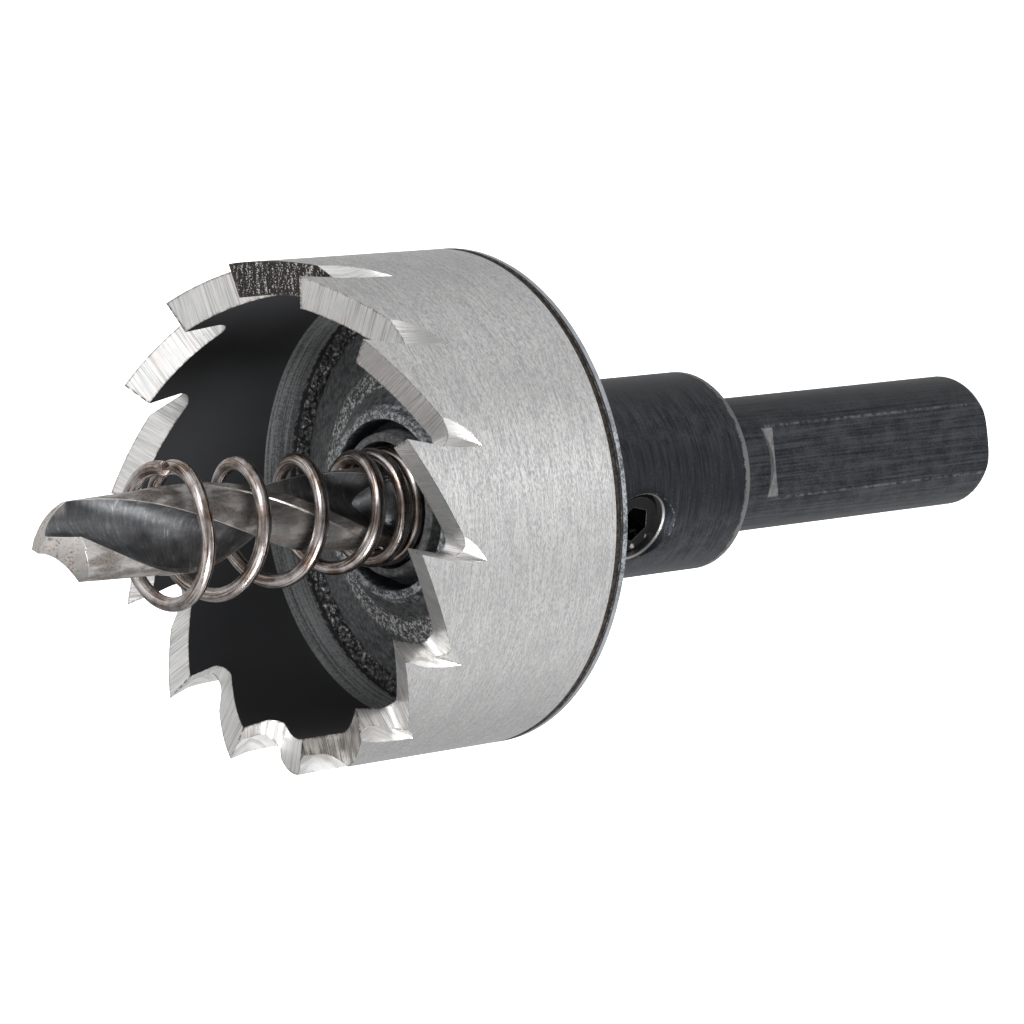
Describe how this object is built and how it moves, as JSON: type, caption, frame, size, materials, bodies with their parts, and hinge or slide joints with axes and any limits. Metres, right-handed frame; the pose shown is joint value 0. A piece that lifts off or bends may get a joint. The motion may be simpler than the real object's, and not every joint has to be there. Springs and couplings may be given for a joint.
{
  "type": "hole saw",
  "caption": "Hole saw with a toothed ring brazed to a turned arbor, a spiral pilot drill in an ejector spring, a clamping grub screw and a flatted round shank.",
  "frame": {"origin": "centre of the shank's end face", "axes": "+Z along the axis from the shank's end to the drill's point; +X towards the side with the nearest drive flat"},
  "size_m": [0.035, 0.035, 0.085],
  "materials": {
    "ring_steel": "ground bright outside, blackened inside",
    "braze": "rough, darkened by heat and oil",
    "arbor_steel": "black oxide",
    "drill_steel": "dark ground steel",
    "spring_wire": "tarnished drawn wire",
    "screw_steel": "black oxide"
  },
  "bodies": {
    "root": {"cutter_ring": "ring_steel", "braze_joint": "braze", "arbor": "arbor_steel", "pilot_drill": "drill_steel", "ejector_spring": "spring_wire", "set_screw": "screw_steel"}
  },
  "joints": []
}
